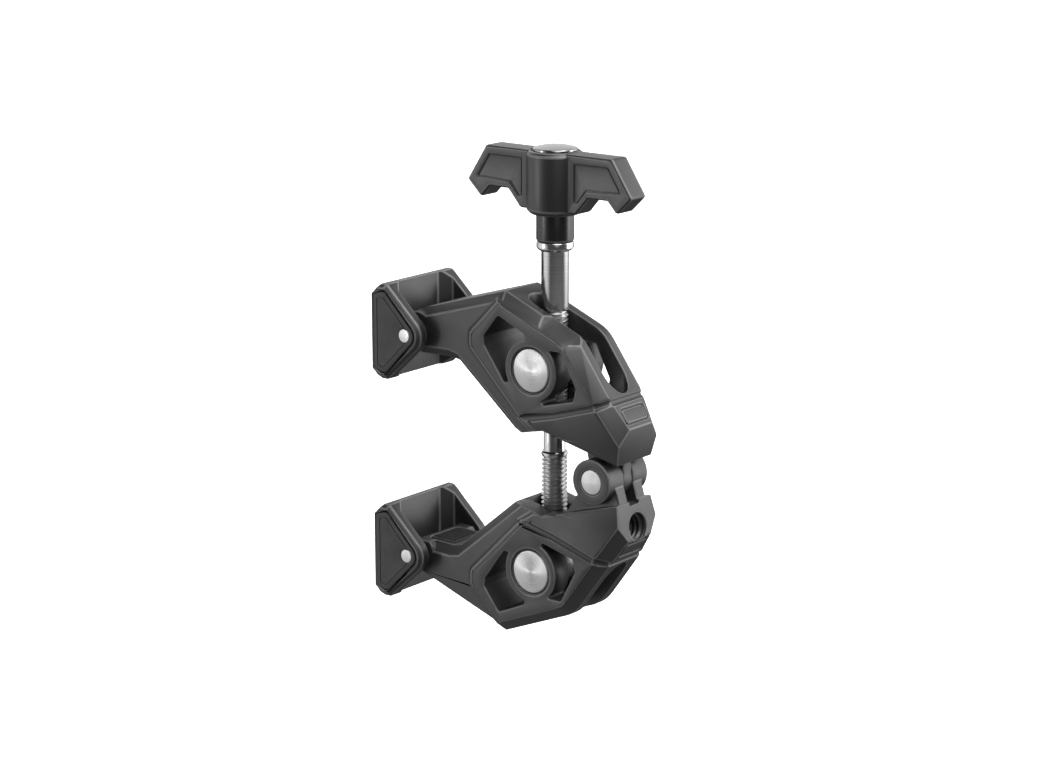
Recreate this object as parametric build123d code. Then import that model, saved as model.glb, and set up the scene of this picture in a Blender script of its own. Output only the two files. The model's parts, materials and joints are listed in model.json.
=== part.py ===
from build123d import *
import math
import os

# Screw-closed super clamp for studio and camera rigs, in millimetres, shown fully open.
# Working frame: X runs from the shoes (-) to the hinge (+), Y is the width, Z is up, the spindle
# axis is the Z axis and Z = 0 is halfway between the two barrel nuts. Every node is moved at the
# end so that the origin is the mouth of the threaded accessory hole.

# Mechanism: a hinge and two barrel nuts at the corners of an isosceles triangle.
HINGE_X = 15.65
NUT_Z = 23.33
NUT_R = 5.07
NUT_HALF = 8.75

# Spindle: opposite-hand M6 x 1 threads above and below a thinner waist.
THREAD_R = 3.0
SHANK_R = 3.1
WAIST_R = 2.5
THREAD_TOP_Z = 35.8
UPPER_THREAD_END_Z = 13.0
LOWER_THREAD_TOP_Z = 2.3
SPINDLE_BOTTOM_Z = -33.0
END_RING_R = 3.35
END_RING_Z = -32.4
END_RING_WIDTH = 1.0
HEX_FLATS = 5.2
HEX_BOTTOM_Z = 59.0
HEX_TOP_Z = 67.0
SCREW_R = 1.5
SCREW_BOTTOM_Z = 61.0

# Handle, from the ring below it to the cap on top.
RING_R = 4.2
RING_BOTTOM_Z = 49.3
RING_TOP_Z = 51.4
SLEEVE_R = 4.25
HUB_R = 6.4
HUB_BOTTOM_Z = 57.5
HUB_TOP_Z = 71.6
WING_HALF = 3.0
PANEL_RECESS = 0.3
CAP_R = 5.0
CAP_SEAT = 0.6

# Jaws: half widths of the ridges, side faces, block rims and raised side panels, and of the slot.
RIDGE_HALF = 5.9
SIDE_HALF = 8.0
RIM_HALF = 8.75
PANEL_HALF = 9.0
SLOT_HALF = 3.5
EDGE_BEVEL = SIDE_HALF - RIDGE_HALF
DECK_DROP = 2.4
SHOULDER_R = 9.0
RIM_SLOPE = 1.35
RIM_LAND = 0.75
BELT_R = 0.95
BELT_DEPTH = 0.42
BOSS_R = 7.1
SCOOP_ORIGIN = (6.3, -8.7, 31.2)
SCOOP_NORMAL = (0.35, -0.35, 0.87)
SCOOP_LENGTH = 15.5
GRIP_X = (-32.8, -25.4)
GRIP_HALF = 5.2
GRIP_DEPTH = 0.9
GRIP_PROUD = 0.5
NUT_BORE_R = NUT_R + 0.08

# Hinge: clevis of the lower jaw, tongue of the upper one, pin through both.
PIN_R = 2.9
PIN_HALF = 7.1
KNUCKLE_R = 5.1
KNUCKLE_HALF = 7.2
TONGUE_R = 4.9
EAR_HALF = 4.9
CLEVIS_GAP_HALF = 1.75
TONGUE_HALF = 1.6

# Shoes: U-shaped blocks that tilt on a pin through each arm's end.
SHOE_PIN_X = -33.6
SHOE_PIN_Z = 27.2
SHOE_HALF = 12.75
CHEEK_INNER = 9.6
GUSSET = 2.5
SHOE_FACE = 9.95
SHOE_HEIGHT = 22.4
SHOE_NOSE_R = 4.4
SHOE_PIN_R = 1.65
SHOE_BEVEL = 1.0
SHOE_WEB_X = 6.4
FACE_PAD = 1.4
PAD_PROUD = 0.25
PLATE_DEPTH = 1.1
PLATE_RIM = 1.5
LOWER_SHOE_LIFT = 2.0

# Accessory hole, 1/4"-20, square to the tilted rear face of the lower jaw.
HOLE_MOUTH = (23.17, -10.45)
HOLE_R = 3.175
HOLE_DEPTH = 9.0
REAR_TILT = 12.0

ORIGIN_SHIFT = Pos(-HOLE_MOUTH[0], 0, -HOLE_MOUTH[1])

# Side view of a jaw, drawn for the upper one; the lower one is its mirror image.
APEX = (-9.3, 39.9)
SHOULDER = (10.6, 31.75)
HEEL_TOP = (20.2, 18.5)
HEEL_EDGE = (24.0, 12.8)
HEEL_FOOT = (22.25, 4.5)
UNDERSIDE_START = (3.0, 9.9)
NOSE = (-6.5, 8.5)
NOSE_END = (-3.6, 8.3)
THROAT = (-22.6, 21.9)
THROAT_START = (-24.9, 22.4)
ARM_START = (-34.0, 22.1)

# Raised block on a jaw's flanks: the rounded front of its rim, and the belt line below it.
RIM_TOP = (-7.6, 41.5)
RIM_FRONT_HIGH = (-18.9, 30.2)
RIM_FRONT_LOW = (-18.9, 25.9)
RIM_NOSE = (-4.6, 11.6)
BELT_START = (-6.5, 11.0)
BELT_BEND = (6.4, 14.0)
BELT_END = (17.75, 17.5)

# Outer edge of each arm, its end and the shoe's pin in it.
UPPER_ARM = [(-31.2, 33.5), (-35.2, 31.9)]
LOWER_ARM = [(-9.6, 37.8), (-33.2, 29.6), (-36.0, 27.8)]
UPPER_ARM_END_R = 5.0
LOWER_ARM_END_R = 4.4


def side_slab(outline, half):
    """Solid from an X-Z outline, reaching from -half to +half in Y."""
    return extrude(Plane.XZ * outline, amount=half, both=True)


def polygon(points, radius=0.0):
    """Closed X-Z face through the points, its corners rounded."""
    face = make_face(Polyline(*points, close=True))
    return fillet(face.vertices(), radius) if radius else face


def cylinder_y(x, z, radius, y_low, y_high):
    """Cylinder along Y."""
    return Pos(x, y_high, z) * extrude(Plane.XZ * Circle(radius), amount=y_high - y_low)


def beyond(point, normal):
    """Everything on the outer side of a plane, as one large block."""
    plane = Plane(origin=point, z_dir=normal)
    return plane * Pos(0, 0, 60) * Box(240, 240, 120)


def cut_both_sides(solid, point, normal):
    """Trims the solid by a plane and by its mirror image across Y = 0."""
    solid -= beyond(point, normal)
    return solid - beyond((point[0], -point[1], point[2]), (normal[0], -normal[1], normal[2]))


def bead(points, radius):
    """Round bar along a chain of points, with a ball at each inner corner."""
    bar = Pos(*points[1]) * Sphere(radius)
    for start, end in zip(points, points[1:]):
        run = Vector(*end) - Vector(*start)
        bar += Plane(origin=start, z_dir=run) * Pos(0, 0, run.length / 2) * Cylinder(radius, run.length)
        bar += Pos(*end) * Sphere(radius)
    return bar


def rim_face(inset):
    """Outline of the raised block on the flank, its front drawn in by a distance."""
    points = [RIM_TOP, RIM_FRONT_HIGH, RIM_FRONT_LOW, RIM_NOSE, (0.0, 8.6), (30.0, 8.6), (30.0, 41.5)]
    face = make_face(Polyline(*points, close=True))
    face = fillet(face.vertices().filter_by(lambda v: v.X < RIM_FRONT_LOW[0] + 1), 3.6)
    return offset(face, -inset, kind=Kind.INTERSECTION) if inset else face


def flank(face, low, high, slope):
    """Raised layer on both flanks, its edges sloping outwards towards its base."""
    taper = math.degrees(math.atan(slope / (high - low)))
    plane = Plane(origin=(0, -low, 0), x_dir=(1, 0, 0), z_dir=(0, -1, 0))
    layer = extrude(plane * face, amount=high - low, taper=taper)
    return layer + mirror(layer, about=Plane.XZ)


def jaw_outline(arm):
    """Side view of a jaw, its shoulder rounded; the arm's outer points come last."""
    outline = [ARM_START, THROAT_START, THROAT, NOSE, NOSE_END, UNDERSIDE_START]
    outline += [HEEL_FOOT, HEEL_EDGE, HEEL_TOP, SHOULDER, APEX] + arm
    face = make_face(Polyline(*outline, close=True))
    return fillet(face.vertices().sort_by_distance((*SHOULDER, 0))[0], SHOULDER_R)


def deck_envelope(outline):
    """The jaw at the raised panels' width, with broad bevels along both decks and the shoulder."""
    block = side_slab(outline, PANEL_HALF)
    for side in (-1, 1):
        edges = block.edges().filter_by(
            lambda e: abs(e.center().Y - side * PANEL_HALF) < 0.01
            and APEX[0] < e.center().X < HEEL_TOP[0]
            and e.center().Z > HEEL_TOP[1]
        )
        cheek = block.faces().sort_by(Axis.Y)[-1 if side > 0 else 0]
        block = chamfer(edges, DECK_DROP, length2=PANEL_HALF - RIDGE_HALF, reference=cheek)
    return block


def window_cutters():
    """Front and rear side windows, both stopping at the round boss of the nut."""
    boss = side_slab(Pos(0, NUT_Z) * Circle(BOSS_R), 12)
    front = [(-9.2, 34.7), (-13.4, 29.4), (-13.2, 27.4), (-7.5, 19.6), (-6.0, 20.0), (-1.4, 31.2)]
    rear = [(4.9, 28.6), (8.6, 28.6), (12.6, 21.0), (11.9, 18.1), (2.8, 15.7)]
    return (side_slab(polygon(front, 0.8), 12) - boss) + (side_slab(polygon(rear, 0.8), 12) - boss)


def spindle_slot():
    """Slot through a jaw in which the spindle swings as the jaws close."""
    front, rear = -6.2, 19.3
    deep_front, deep_rear = -5.6, 5.6
    upper = Pos((front + rear) / 2, 0, 30) * Box(rear - front, 2 * SLOT_HALF, 27)
    upper = fillet(upper.edges().filter_by(Axis.Z), SLOT_HALF - 0.2)
    lower = Pos((deep_front + deep_rear) / 2, 0, 14) * Box(deep_rear - deep_front, 2 * SLOT_HALF, 26)
    lower = fillet(lower.edges().filter_by(Axis.Z), SLOT_HALF - 0.7)
    swing = [(2.0, NUT_Z), (-4.1, NUT_Z - 4.0), (-6.2, NUT_Z - 15.2), (-3.0, NUT_Z - 18.6)]
    swing.append((2.0, NUT_Z - 18.0))
    return upper + lower + side_slab(polygon(swing), SLOT_HALF)


def grip_block(depth, proud, margin):
    """Block on the inner face of an arm, sunk by depth, standing proud, smaller by margin."""
    x_low, x_high = GRIP_X
    middle = Pos((x_low + x_high) / 2, 0, ARM_START[1] + (depth - proud) / 2 + 0.2)
    size = (x_high - x_low - 2 * margin, 2 * (GRIP_HALF - margin), depth + proud)
    block = middle * Box(*size)
    return fillet(block.edges().filter_by(Axis.Z), 1.0)


def engraved_frame():
    """Blank rounded frame, as a cutter, on the slope below a jaw's rear deck."""
    slope = Vector(HEEL_EDGE[0] - HEEL_TOP[0], 0, HEEL_EDGE[1] - HEEL_TOP[1])
    middle = ((HEEL_TOP[0] + HEEL_EDGE[0]) / 2 + 0.2, 0, (HEEL_TOP[1] + HEEL_EDGE[1]) / 2 - 0.3)
    face = Plane(origin=middle, x_dir=(0, 1, 0), z_dir=Vector(0, 1, 0).cross(slope))
    ring = RectangleRounded(8.4, 3.8, 0.8) - RectangleRounded(7.8, 3.2, 0.6)
    return extrude(face * ring, amount=0.3, both=True)


def belt_groove():
    """Rounded groove, as a cutter, along both flanks and over the rear deck."""
    over = BELT_R - BELT_DEPTH
    flank_y = PANEL_HALF + over
    deck = (HEEL_TOP[0] + 0.82 * over, HEEL_TOP[1] + 0.57 * over)
    near = [(x, -flank_y, z) for x, z in (BELT_START, BELT_BEND, BELT_END)]
    near.append((deck[0], -RIDGE_HALF - 0.2, deck[1]))
    far = [(x, -y, z) for x, y, z in reversed(near)]
    return bead(near + far, BELT_R)


def jaw_body(arm, end_r, pin_z):
    """Arm, cheeks and heel of a jaw, drawn as the upper one, with its windows and slot."""
    outline = jaw_outline(arm)
    body = side_slab(outline, SIDE_HALF)
    body += side_slab(Pos(SHOE_PIN_X, pin_z) * Circle(end_r), SIDE_HALF)
    # Broad bevels along the arm, the throat and the nose.
    outer_arm_z = ARM_START[1] + (0.5 if arm is LOWER_ARM else 30.0)
    beveled = body.edges().filter_by(GeomType.LINE).filter_by(
        lambda e: abs(abs(e.center().Y) - SIDE_HALF) < 0.01
        and e.length > 1.2
        and ARM_START[0] - 0.4 < e.center().X < NOSE[0]
        and e.center().Z < outer_arm_z
    )
    body = chamfer(beveled, EDGE_BEVEL)
    # Raised flanks: a sloping rim, and a panel one small step above it.
    body += flank(rim_face(0), SIDE_HALF - 0.3, RIM_HALF, RIM_SLOPE)
    body += flank(rim_face(RIM_SLOPE + RIM_LAND), RIM_HALF - 0.1, PANEL_HALF, 0.2)
    body &= deck_envelope(outline)
    # Facets at the heel's corners and along the underside.
    body = cut_both_sides(body, (17.8, PANEL_HALF, 17.4), (0.718, 0.610, 0.333))
    body = cut_both_sides(body, (-2.8, PANEL_HALF, 10.8), (0.057, 0.981, -0.184))
    body -= belt_groove()
    body -= engraved_frame()
    body -= window_cutters()
    body -= spindle_slot()
    # Bore of the barrel nut, countersunk on both sides.
    body -= cylinder_y(0, NUT_Z, NUT_BORE_R, -12, 12)
    sink = Pos(0, -PANEL_HALF, NUT_Z) * (Rot(90, 0, 0) * Cone(NUT_BORE_R - 0.4, NUT_BORE_R + 1.2, 1.6))
    body -= sink
    body -= mirror(sink, about=Plane.XZ)
    body -= grip_block(GRIP_DEPTH, 2.0, 0)
    body -= cylinder_y(SHOE_PIN_X, pin_z, SHOE_PIN_R + 0.05, -12, 12)
    return body


def upper_jaw():
    """Upper jaw with the tongue that turns between the clevis ears."""
    jaw = jaw_body(UPPER_ARM, UPPER_ARM_END_R, SHOE_PIN_Z)
    # Scooped relief in the near cheek, beside the spindle.
    run = Vector(SHOULDER[0] - APEX[0], 0, SHOULDER[1] - APEX[1])
    relief = Plane(origin=SCOOP_ORIGIN, x_dir=run, z_dir=SCOOP_NORMAL)
    scoop = Pos(0.6, 0, 6) * Box(SCOOP_LENGTH, 30, 12)
    scoop = fillet(scoop.edges().filter_by(Axis.Y).group_by(Axis.Z)[0], 3.5)
    jaw -= (relief * scoop) & (Pos(0, -15, 30) * Box(80, 30, 60))
    # Tongue, its root in the heel, and the pin's running bore.
    root = [(HINGE_X - 4.6, 1.5), (HINGE_X - 6.5, 9.5), (HINGE_X + 4.5, 9.5), (HINGE_X + 4.7, 1.2)]
    jaw += side_slab(Pos(HINGE_X, 0) * Circle(TONGUE_R), TONGUE_HALF)
    jaw += side_slab(polygon(root), TONGUE_HALF)
    return jaw - cylinder_y(HINGE_X, 0, PIN_R + 0.04, -3, 3)


def rear_axis():
    """Outward direction of the accessory hole."""
    tilt = math.radians(REAR_TILT)
    return (math.cos(tilt), 0, math.sin(tilt))


def lower_jaw():
    """Lower jaw: the mirrored body, the clevis and the accessory hole."""
    jaw = mirror(jaw_body(LOWER_ARM, LOWER_ARM_END_R, SHOE_PIN_Z - LOWER_SHOE_LIFT), about=Plane.XY)
    ear = [(5.8, -11.0), (HINGE_X - 4.4, -2.6), (HINGE_X - 4.6, 1.6), (HINGE_X + 4.6, 1.6)]
    ear += [(HINGE_X + 5.0, -1.0), (22.2, -6.0), (21.0, -12.0)]
    jaw += side_slab(polygon(ear), EAR_HALF)
    jaw += side_slab(Pos(HINGE_X, 0) * Circle(KNUCKLE_R), KNUCKLE_HALF)
    gap = [(HINGE_X - 9, 6), (HINGE_X - 5.45, -0.5), (HINGE_X, -5.45), (24, -5.45), (24, 6)]
    jaw -= side_slab(Pos(HINGE_X, 0) * Circle(TONGUE_R + 0.4), CLEVIS_GAP_HALF)
    jaw -= side_slab(polygon(gap), CLEVIS_GAP_HALF)
    jaw -= mirror(spindle_slot(), about=Plane.XY)
    jaw -= cylinder_y(HINGE_X, 0, PIN_R, -12, 12)
    sink = Pos(HINGE_X, -KNUCKLE_HALF, 0) * (Rot(90, 0, 0) * Cone(PIN_R - 0.5, PIN_R + 0.5, 1.0))
    jaw -= sink
    jaw -= mirror(sink, about=Plane.XZ)
    axis = Plane(origin=(HOLE_MOUTH[0], 0, HOLE_MOUTH[1]), z_dir=rear_axis())
    return jaw - axis * Pos(0, 0, 1 - HOLE_DEPTH / 2) * Cylinder(HOLE_R, HOLE_DEPTH + 2)


def grip_pad():
    """Rubber grip insert on the inner face of the upper arm."""
    return grip_block(GRIP_DEPTH - 0.05, GRIP_PROUD, 0.25)


def barrel_nut():
    """Round nut lying across the jaw, drilled for the spindle; the upper one."""
    nut = cylinder_y(0, NUT_Z, NUT_R, -NUT_HALF, NUT_HALF)
    nut = chamfer(nut.edges().filter_by(GeomType.CIRCLE), 0.25)
    return nut - Pos(0, 0, NUT_Z) * Cylinder(THREAD_R + 0.07, 12)


def stud(radius, z_low, z_high):
    """Cylinder on the spindle axis."""
    return Pos(0, 0, (z_low + z_high) / 2) * Cylinder(radius, z_high - z_low)


def spindle():
    """Spindle: two plain-cut thread zones, a waist between them, a shank and a hexagon drive."""
    rod = stud(THREAD_R, SPINDLE_BOTTOM_Z, LOWER_THREAD_TOP_Z)
    rod += stud(WAIST_R, LOWER_THREAD_TOP_Z, UPPER_THREAD_END_Z)
    rod += stud(THREAD_R, UPPER_THREAD_END_Z, THREAD_TOP_Z)
    rod += stud(SHANK_R, THREAD_TOP_Z, HEX_BOTTOM_Z)
    hexagon = RegularPolygon(HEX_FLATS / 2, 6, major_radius=False)
    rod += Pos(0, 0, HEX_BOTTOM_Z) * extrude(hexagon, amount=HEX_TOP_Z - HEX_BOTTOM_Z)
    rod -= stud(SCREW_R, SCREW_BOTTOM_Z - 0.5, HEX_TOP_Z + 1)
    groove = stud(THREAD_R + 1, END_RING_Z, END_RING_Z + END_RING_WIDTH)
    rod -= groove - stud(THREAD_R - 0.5, END_RING_Z, END_RING_Z + END_RING_WIDTH)
    return rod


def spindle_end_ring():
    """Retaining ring near the spindle's lower end; it stops the nut from running off."""
    ring = stud(END_RING_R, END_RING_Z, END_RING_Z + END_RING_WIDTH)
    return ring - stud(THREAD_R - 0.5, END_RING_Z, END_RING_Z + END_RING_WIDTH)


def spindle_washer():
    """Steel ring between the handle's sleeve and the shank; it need not turn with the spindle."""
    ring = stud(RING_R, RING_BOTTOM_Z, RING_TOP_Z)
    ring = chamfer(ring.edges().filter_by(GeomType.CIRCLE).group_by(Axis.Z)[0], 0.6)
    ring = chamfer(ring.edges().filter_by(GeomType.CIRCLE).group_by(Axis.Z)[-1], 0.2)
    return ring - stud(SHANK_R + 0.05, RING_BOTTOM_Z - 1, RING_TOP_Z + 1)


def handle_sleeve():
    """Black sleeve that closes the hub from below and hides the drive hexagon."""
    sleeve = stud(SLEEVE_R, RING_TOP_Z + 0.05, HEX_BOTTOM_Z)
    sleeve = chamfer(sleeve.edges().filter_by(GeomType.CIRCLE).group_by(Axis.Z)[0], 0.25)
    return sleeve - stud(SHANK_R, RING_TOP_Z - 1, HEX_BOTTOM_Z + 1)


def wing_outline():
    """Right half of the handle's side view, from the hub outwards and back underneath."""
    inner = [(0, 58.3), (0, 71.5)]
    return inner + [(17.4, 71.5), (22.8, 63.3), (18.8, 59.4), (16.2, 62.2), (11.2, 62.2), (7.8, 58.3)]


def t_handle():
    """T-handle: two hooked wings on a round hub, with a shallow panel on each side face."""
    right = polygon(wing_outline())
    right = fillet(right.vertices().filter_by(lambda v: v.X > 7), 0.8)
    wing = side_slab(right, WING_HALF)
    wings = wing + mirror(wing, about=Plane.YZ)
    rims = wings.edges().filter_by(lambda e: abs(abs(e.center().Y) - WING_HALF) < 0.01)
    wings = chamfer(rims.filter_by(lambda e: abs(e.center().X) > 6.5), 0.45)
    hub = stud(HUB_R, HUB_BOTTOM_Z, HUB_TOP_Z)
    hub = chamfer(hub.edges().filter_by(GeomType.CIRCLE).group_by(Axis.Z)[0], 1.0)
    hub = chamfer(hub.edges().filter_by(GeomType.CIRCLE).group_by(Axis.Z)[-1], 0.8)
    handle = wings + hub
    panel = [(7.2, 69.6), (16.4, 69.6), (19.9, 64.2), (10.6, 63.9), (8.2, 61.0), (7.2, 61.0)]
    recess = polygon(panel, 0.4)
    for side in (-1, 1):
        cutter = Pos(0, side * WING_HALF, 0) * side_slab(recess, PANEL_RECESS)
        handle -= cutter
        handle -= mirror(cutter, about=Plane.YZ)
    handle -= stud(SLEEVE_R, HUB_BOTTOM_Z - 1, HEX_BOTTOM_Z)
    hexagon = RegularPolygon(HEX_FLATS / 2, 6, major_radius=False)
    handle -= Pos(0, 0, HEX_BOTTOM_Z) * extrude(hexagon, amount=HEX_TOP_Z - HEX_BOTTOM_Z)
    handle -= stud(SCREW_R, HEX_TOP_Z - 1, HUB_TOP_Z + 1)
    return handle - stud(CAP_R, HUB_TOP_Z - CAP_SEAT, HUB_TOP_Z + 1)


def handle_screw():
    """Large domed screw on top of the hub; it holds the handle on the spindle."""
    rim_z = HUB_TOP_Z + 0.5
    dome = rim_z + 0.75
    side = Polyline((0, rim_z - 1.5), (0, dome))
    crown = ThreePointArc((0, dome), (CAP_R * 0.52, dome - 0.2), (CAP_R, rim_z))
    seat_z = HUB_TOP_Z - CAP_SEAT
    edge = Polyline((CAP_R, rim_z), (CAP_R, seat_z), (0, seat_z), (0, rim_z - 1.5))
    head = revolve(Plane.XZ * make_face([side, crown, edge]), Axis.Z)
    return head + stud(SCREW_R, SCREW_BOTTOM_Z, seat_z + 0.2)


def hinge_pin():
    """Plain pin through the clevis and the tongue."""
    pin = cylinder_y(HINGE_X, 0, PIN_R, -PIN_HALF, PIN_HALF)
    return chamfer(pin.edges().filter_by(GeomType.CIRCLE), 0.2)


def shoe_outline(shrink=0.0):
    """Side view of a shoe about its pin: a flat face to the left and a round nose at the pin."""
    flat = -SHOE_FACE + PAD_PROUD
    half = SHOE_HEIGHT / 2
    nose = SHOE_NOSE_R - shrink
    corner = (flat + 2.3, half - shrink)
    top = (flat + 4.0, half - shrink)
    lean = math.atan2(top[1], top[0])
    tangent = lean - math.acos(nose / math.hypot(*top))
    touch = (nose * math.cos(tangent), nose * math.sin(tangent))
    inset = min(shrink, 0.45)
    left = [(flat + inset, half - 2.6), (corner[0] + inset, corner[1]), top, touch]
    upper = Polyline(*left)
    arc = ThreePointArc(touch, (nose, 0), (touch[0], -touch[1]))
    lower = Polyline(*[(x, -z) for x, z in reversed(left)], left[0])
    return make_face([upper, arc, lower])


def shoe_cheek_recess(side, depth, shrink, face_y):
    """Plate-shaped block sunk into a cheek from its outer face."""
    block = side_slab(shoe_outline(shrink), depth / 2)
    return Pos(0, side * (face_y - depth / 2), 0) * block


def shoe():
    """Shoe block: a face web between two cheeks, about its pin."""
    block = side_slab(shoe_outline(), SHOE_HALF)
    rims = block.edges().filter_by(lambda e: abs(abs(e.center().Y) - SHOE_HALF) < 0.01)
    slanted = rims.filter_by(lambda e: e.center().X > -SHOE_FACE + 2.6)
    block = chamfer(slanted, SHOE_BEVEL)
    half = SHOE_HEIGHT
    web = -SHOE_WEB_X
    cavity = [(web, -CHEEK_INNER + GUSSET), (web, CHEEK_INNER - GUSSET), (web + GUSSET, CHEEK_INNER)]
    cavity += [(12, CHEEK_INNER), (12, -CHEEK_INNER), (web + GUSSET, -CHEEK_INNER)]
    block -= extrude(make_face(Polyline(*cavity, close=True)), amount=half, both=True)
    for side in (-1, 1):
        block -= shoe_cheek_recess(side, PLATE_DEPTH + 0.5, PLATE_RIM, SHOE_HALF + 0.5)
    seat = Pos(-SHOE_FACE, 0, 0) * Box(2 * FACE_PAD, 2 * SHOE_HALF - 2.4, SHOE_HEIGHT - 6.0)
    return block - seat - cylinder_y(0, 0, SHOE_PIN_R, -20, 20)


def shoe_plate(side):
    """Inset cover plate of a cheek."""
    plate = shoe_cheek_recess(side, PLATE_DEPTH - 0.1, PLATE_RIM + 0.3, SHOE_HALF - 0.1)
    return plate - cylinder_y(0, 0, SHOE_PIN_R, -20, 20)


def shoe_face_pad():
    """Rubber face set into the shoe's flat side."""
    thick = FACE_PAD
    pad = Pos(-SHOE_FACE + thick / 2, 0, 0) * Box(thick, 2 * SHOE_HALF - 2.6, SHOE_HEIGHT - 6.2)
    return fillet(pad.edges().filter_by(Axis.X), 0.6)


def shoe_pin():
    """Pin on which the shoe tilts."""
    pin = cylinder_y(0, 0, SHOE_PIN_R, -SHOE_HALF + 0.05, SHOE_HALF - 0.05)
    return chamfer(pin.edges().filter_by(GeomType.CIRCLE), 0.15)


def build_nodes():
    """All nodes of the clamp by name, in the working frame."""
    nodes = {
        "lower_jaw": lower_jaw(),
        "upper_jaw": upper_jaw(),
        "upper_grip_pad": grip_pad(),
        "lower_grip_pad": mirror(grip_pad(), about=Plane.XY),
        "hinge_pin": hinge_pin(),
        "upper_barrel_nut": barrel_nut(),
        "lower_barrel_nut": mirror(barrel_nut(), about=Plane.XY),
        "spindle": spindle(),
        "spindle_end_ring": spindle_end_ring(),
        "spindle_washer": spindle_washer(),
        "handle_sleeve": handle_sleeve(),
        "t_handle": t_handle(),
        "handle_screw": handle_screw(),
    }
    for name, z in (("upper", SHOE_PIN_Z), ("lower", LOWER_SHOE_LIFT - SHOE_PIN_Z)):
        place = Pos(SHOE_PIN_X, 0, z)
        nodes[name + "_shoe"] = place * shoe()
        nodes[name + "_shoe_plate_near"] = place * shoe_plate(-1)
        nodes[name + "_shoe_plate_far"] = place * shoe_plate(1)
        nodes[name + "_shoe_face_pad"] = place * shoe_face_pad()
        nodes[name + "_shoe_pin"] = place * shoe_pin()
    return nodes


os.makedirs("parts", exist_ok=True)
for node_name, solid in build_nodes().items():
    export_step(ORIGIN_SHIFT * solid, f"parts/{node_name}.step")
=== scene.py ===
"""Super clamp with a T-handle: bevelled castings, screw threads, ribbed rubber and finishes."""
import json
import logging
import math
from dataclasses import dataclass, field
from enum import Enum
from typing import Iterable, Sequence

import bmesh
import bpy
from mathutils import Matrix, Vector


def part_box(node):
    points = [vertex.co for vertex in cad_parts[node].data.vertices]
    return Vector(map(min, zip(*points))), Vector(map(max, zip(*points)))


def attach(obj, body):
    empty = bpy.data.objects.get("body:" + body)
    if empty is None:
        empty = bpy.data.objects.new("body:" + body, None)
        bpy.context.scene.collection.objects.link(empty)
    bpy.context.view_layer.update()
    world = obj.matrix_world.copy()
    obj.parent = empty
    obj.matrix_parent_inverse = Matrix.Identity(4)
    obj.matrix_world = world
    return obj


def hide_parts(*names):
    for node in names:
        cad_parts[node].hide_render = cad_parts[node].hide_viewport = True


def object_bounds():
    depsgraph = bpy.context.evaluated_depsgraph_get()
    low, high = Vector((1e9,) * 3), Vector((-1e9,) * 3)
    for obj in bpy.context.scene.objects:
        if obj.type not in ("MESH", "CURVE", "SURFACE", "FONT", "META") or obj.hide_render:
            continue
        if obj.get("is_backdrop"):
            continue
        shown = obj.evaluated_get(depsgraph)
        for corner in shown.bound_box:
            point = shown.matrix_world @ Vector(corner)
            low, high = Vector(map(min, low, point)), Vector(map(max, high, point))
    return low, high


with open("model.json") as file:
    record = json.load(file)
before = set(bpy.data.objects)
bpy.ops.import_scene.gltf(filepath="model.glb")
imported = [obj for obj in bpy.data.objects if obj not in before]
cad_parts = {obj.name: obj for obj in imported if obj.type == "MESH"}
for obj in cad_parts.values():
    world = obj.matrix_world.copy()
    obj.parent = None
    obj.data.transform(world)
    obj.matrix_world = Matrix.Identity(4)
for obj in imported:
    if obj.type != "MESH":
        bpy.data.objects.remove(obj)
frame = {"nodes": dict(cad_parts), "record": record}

LOG = logging.getLogger("clamp")
MM = 0.001
EDGE_MASK = "outer_edge"
NOISE_MIDDLE = (0.3, 0.7)
Colour = tuple[float, float, float]


class Axis(Enum):
    """The direction that a turned face or a round bar is centred on."""

    Y = "Y"
    Z = "Z"


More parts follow.
